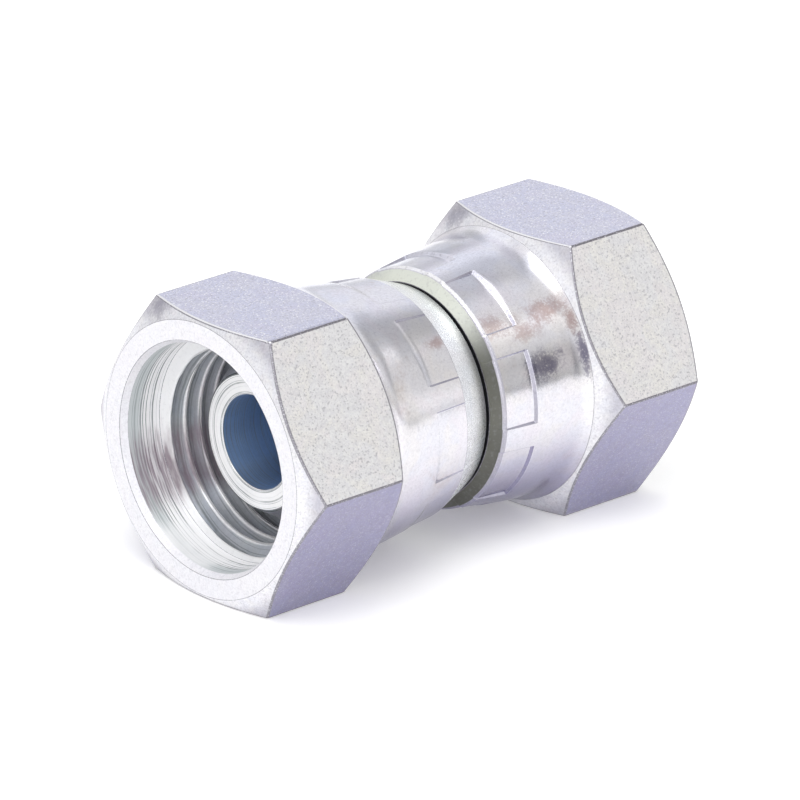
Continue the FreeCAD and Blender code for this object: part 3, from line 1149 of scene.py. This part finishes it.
def nut_profiles(angles, nut, skirt, thread, own):
    """The nut's closed profile at each angle round its axis."""
    hexagon = hexagon_radius(angles, nut.across_flats, nut.hex_edge)
    face_radius = nut.across_flats / 2 - nut.face_setback
    rear_slope = math.tan(nut.rear_chamfer)
    ridge = nut.mouth_face - nut.hex_length - nut.face_setback * rear_slope
    front_station = nut.mouth_face - (hexagon - face_radius) * math.tan(nut.front_chamfer)
    rear_station = ridge + (hexagon - face_radius) * rear_slope
    pressed = imprint_share(angles, skirt, own.turn)
    crimp = skirt.crimp_diameter / 2 - own.imprint_depth * IMPRINT_RUN_OUT * pressed
    lip_cone = (nut.rear_bore - nut.lip_bore) / 2
    return rounded_profiles([
        (nut.mouth_face, nut.mouth_diameter / 2, nut.mouth_edge, 3, "face"),
        (nut.mouth_face, face_radius, nut.turned_edge, 3, "chamfer"),
        (front_station, hexagon, nut.flat_end, 4, "flat"),
        (rear_station, hexagon, nut.flat_end, 4, "chamfer"),
        (ridge, face_radius, nut.turned_edge, 3, "skirt"),
        (ridge - skirt.root_back, skirt.root_diameter / 2, skirt.root_rounding, 10, "skirt"),
        (skirt.bend_station, skirt.bend_diameter / 2, skirt.bend_rounding, 6, "skirt"),
        *imprint_rows(skirt, own, pressed),
        (skirt.crimp_station, crimp, own.crimp_rounding, 5, ("crimp", "lip")),
        (own.lip_end, skirt.lip_diameter / 2, skirt.lip_edge, 4, "inside"),
        (own.lip_end, nut.lip_bore / 2, nut.turned_edge, 2, "inside"),
        (nut.lip_front, nut.lip_bore / 2, 0, 0, "inside"),
        (nut.lip_front + lip_cone, nut.rear_bore / 2, 0, 0, "inside"),
        (nut.thread_back, nut.rear_bore / 2, 0, 0, "inside"),
        *thread_rows(angles, nut, thread, own.crest),
        (nut.lead_in_back, nut.lead_in_diameter / 2, nut.entry_edge, 3, "lead"),
        (nut.mouth_face - nut.mouth_chamfer, nut.lead_in_diameter / 2, nut.lead_in_edge, 2, "face"),
    ])


def make_nut(name, side, scene):
    """One swivel nut with its hexagon, crimped skirt, imprints and cut thread."""
    nut = scene.connector_nut
    skirt = scene.connector_skirt
    own = SimpleNamespace(**{
        key: getattr(scene.connector_own, key)[SIDES.index(side)] for key in OwnSizes.__annotations__
    })
    angles = nut_angles(nut, skirt, own.turn)
    profile = nut_profiles(angles, nut, skirt, scene.connector_thread, own)
    helix_rows = np.flatnonzero(np.array(profile[2]) == "thread")
    share = imprint_share(angles, skirt, own.turn)
    # a little past the rounding, so that the columns at its ends are taken in
    on_edge = off_nearest(angles, SIXTH) < 1.1 * hex_edge_reach(nut)
    on_wall = (np.roll(share, 1) != share) | (np.roll(share, -1) != share)
    marked = (
        (on_edge, "flat", "hex_edge"),
        (share > 0, "step", "pad_step"),
        (on_wall, "imprint", "imprint_wall"),
    )
    shared = finishes(scene)["nut"]
    bands = {**shared, **{band: shared[f"{side}_{band}"] for band in ("lip", "crimp", "pad_step")}}
    return turned_mesh(name, angles, profile, bands, side == "left", marked, helix_rows)


def make_tube(name, scene):
    """The turned tube with a cone nose at each end."""
    tube = scene.connector_tube
    bore_radius = tube.bore_diameter / 2
    half = [
        (tube.neck_half, tube.neck_diameter / 2, tube.collar_edge, 3, "body"),
        (tube.collar_back, tube.collar_diameter / 2, tube.collar_edge, 3, "body"),
        (tube.collar_front, tube.collar_diameter / 2, tube.collar_edge, 4, "body"),
        (tube.collar_front, tube.nose_base_diameter / 2, tube.collar_foot, 4, "body"),
        (tube.nose_base, tube.nose_base_diameter / 2, tube.nose_base_edge, 3, "cone"),
        (tube.nose_tip, tube.nose_tip_diameter / 2, tube.nose_tip_edge, 5, "ring"),
        (tube.nose_tip, bore_radius + tube.bore_chamfer, tube.bore_edge, 2, "ring"),
        (tube.nose_tip - tube.bore_chamfer, bore_radius, tube.bore_edge, 2, "bore"),
    ]
    # a strip leaves the other half's corner where its twin arrives, and the neck is finished like the bore
    mirrored = [
        (-station, radius, rounding, steps, half[index - 1][4])
        for index, (station, radius, rounding, steps, _) in reversed(list(enumerate(half)))
    ]
    angles = column_angles([0.0], math.radians(TUBE_COLUMN))
    profiles, directions, bands = rounded_profiles(half + mirrored)
    repeat = (len(angles), 1, 1)
    profile = (np.tile(profiles, repeat), np.tile(directions, repeat), bands)
    return turned_mesh(name, angles, profile, finishes(scene)["tube"])


class CONNECTOR_OT_nuts(bpy.types.Operator):
    """Adds the two swivel nuts"""

    bl_idname = "connector.nuts"
    bl_label = "Swivel nuts"

    def execute(self, context):
        for side in SIDES:
            piece = make_nut(side + "_nut_plated", side, context.scene)
            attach(piece, side + "_nut")
            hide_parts(side + "_swivel_nut")
        return {"FINISHED"}


class CONNECTOR_OT_tube(bpy.types.Operator):
    """Adds the turned centre tube"""

    bl_idname = "connector.tube"
    bl_label = "Centre tube"

    def execute(self, context):
        piece = make_tube("centre_tube_turned", context.scene)
        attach(piece, "tube")
        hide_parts("centre_tube")
        return {"FINISHED"}


def placed(name, data, scene):
    """A new object with its data, linked to the scene."""
    made = bpy.data.objects.new(name, data)
    scene.collection.objects.link(made)
    return made


class CONNECTOR_OT_stage(bpy.types.Operator):
    """Adds the floor, the lights and the camera"""

    bl_idname = "connector.stage"
    bl_label = "Stage"

    def execute(self, context):
        scene = context.scene
        settings = scene.connector_stage
        self.add_floor(scene, settings)
        self.add_world(scene, settings)
        self.add_camera(scene, settings)
        self.add_lamps(scene, settings)
        scene.view_settings.view_transform = "Standard"
        return {"FINISHED"}

    def add_floor(self, scene, settings):
        """A wide plain floor under the nuts."""
        height = CAD_BOX[0][2]
        far = FLOOR_HALF
        mesh = bpy.data.meshes.new("floor")
        corners = [(-far, -far, height), (far, -far, height), (far, far, height), (-far, far, height)]
        mesh.from_pydata(corners, [], [(0, 1, 2, 3)])
        material = bpy.data.materials.new("pale_floor")
        material.use_nodes = True
        w = Wiring(material.node_tree)
        shader = w.nodes["Principled BSDF"]
        w.feed(shader.inputs["Base Color"], scene.connector_colours.floor)
        w.feed(shader.inputs["Roughness"], 0.9)
        w.feed(shader.inputs["Specular IOR Level"], 0.0)
        path = w.node("ShaderNodeLightPath").outputs
        direct = w.math("MAXIMUM", path["Is Camera Ray"], path["Is Glossy Ray"])
        seen = w.math("MAXIMUM", direct, path["Is Transmission Ray"])
        glow = w.node("ShaderNodeEmission", {"Strength": w.times(seen, settings.floor_glow)})
        total = w.node("ShaderNodeAddShader", {0: shader.outputs[0], 1: glow.outputs[0]})
        w.feed(w.nodes["Material Output"].inputs["Surface"], total.outputs[0])
        mesh.materials.append(material)
        placed("floor", mesh, scene)

    def add_world(self, scene, settings):
        """Pale light from all sides, strongest from above, with darker gaps."""
        world = bpy.data.worlds.new("studio")
        world.use_nodes = True
        scene.world = world
        w = Wiring(world.node_tree)
        background = w.nodes["Background"]
        direction = w.node("ShaderNodeTexCoord").outputs["Generated"]
        shade = w.spread(w.part(direction, 2), -0.1, 0.9, 0.85, 1.0)
        for place, width, depth in GAPS:
            near = w.vector("DOT_PRODUCT", direction, Vector(place).normalized())
            outer, inner = (math.cos(math.radians(width) * share) for share in (1.5, 0.5))
            shade = w.times(shade, w.spread(near, outer, inner, 1.0, 1.0 - depth))
        w.feed(background.inputs["Color"], shade)
        w.feed(background.inputs["Strength"], settings.world)

    def add_camera(self, scene, settings):
        """The camera at the photograph's viewing angle."""
        turn, rise, roll = settings.azimuth, settings.elevation, settings.roll
        ahead = Vector((math.sin(turn), math.cos(turn), 0))
        right = Vector((math.cos(turn), -math.sin(turn), 0))
        sight = ahead * math.cos(rise) - Vector((0, 0, math.sin(rise)))
        above = ahead * math.sin(rise) + Vector((0, 0, math.cos(rise)))
        across = right * math.cos(roll) + above * math.sin(roll)
        upward = above * math.cos(roll) - right * math.sin(roll)
        camera = bpy.data.cameras.new("camera")
        camera.sensor_width = 36
        camera.lens = settings.lens
        camera.shift_x = settings.shift_x
        camera.shift_y = settings.shift_y
        camera.clip_start = 0.01
        holder = placed("camera", camera, scene)
        axes = Matrix((across, upward, -sight)).transposed().to_4x4()
        holder.matrix_world = Matrix.Translation(-sight * settings.distance) @ axes
        scene.camera = holder

    def add_lamps(self, scene, settings):
        """Square soft lamps that face the middle of the connector."""
        for name, place, size, tint in LAMPS:
            lamp = bpy.data.lights.new(name + "_lamp", "AREA")
            lamp.size = size
            lamp.energy = getattr(settings, name)
            lamp.color = tint
            holder = placed(name + "_lamp", lamp, scene)
            holder.location = place
            holder.rotation_euler = (-Vector(place)).to_track_quat("-Z", "Y").to_euler()


class CONNECTOR_PT_panel(bpy.types.Panel):
    """Lists the steps that build the connector"""

    bl_idname = "CONNECTOR_PT_panel"
    bl_label = "Female threaded connector"
    bl_space_type = "VIEW_3D"
    bl_region_type = "UI"
    bl_category = "Connector"

    def draw(self, context):
        for step in STEPS:
            self.layout.operator(step.bl_idname)
        for name, group in SETTINGS.items():
            box = self.layout.box()
            for key in group.__annotations__:
                box.prop(getattr(context.scene, name), key)


STEPS = (CONNECTOR_OT_stage, CONNECTOR_OT_nuts, CONNECTOR_OT_tube)
SETTINGS = {
    "connector_nut": NutSizes,
    "connector_skirt": SkirtSizes,
    "connector_thread": ThreadSizes,
    "connector_own": OwnSizes,
    "connector_tube": TubeSizes,
    "connector_colours": FinishColours,
    "connector_stage": StageSettings,
}


def register():
    """Adds the property groups, the operators and the panel."""
    for name, group in SETTINGS.items():
        bpy.utils.register_class(group)
        setattr(bpy.types.Scene, name, PointerProperty(type=group))
    for step in (*STEPS, CONNECTOR_PT_panel):
        bpy.utils.register_class(step)


def unregister():
    """Takes them away again."""
    for step in (*STEPS, CONNECTOR_PT_panel):
        bpy.utils.unregister_class(step)
    for name, group in SETTINGS.items():
        delattr(bpy.types.Scene, name)
        bpy.utils.unregister_class(group)


def main():
    """Builds the stage and the connector."""
    register()
    bpy.ops.connector.stage()
    bpy.ops.connector.nuts()
    bpy.ops.connector.tube()
    bpy.context.view_layer.update()


if __name__ == "__main__":
    main()
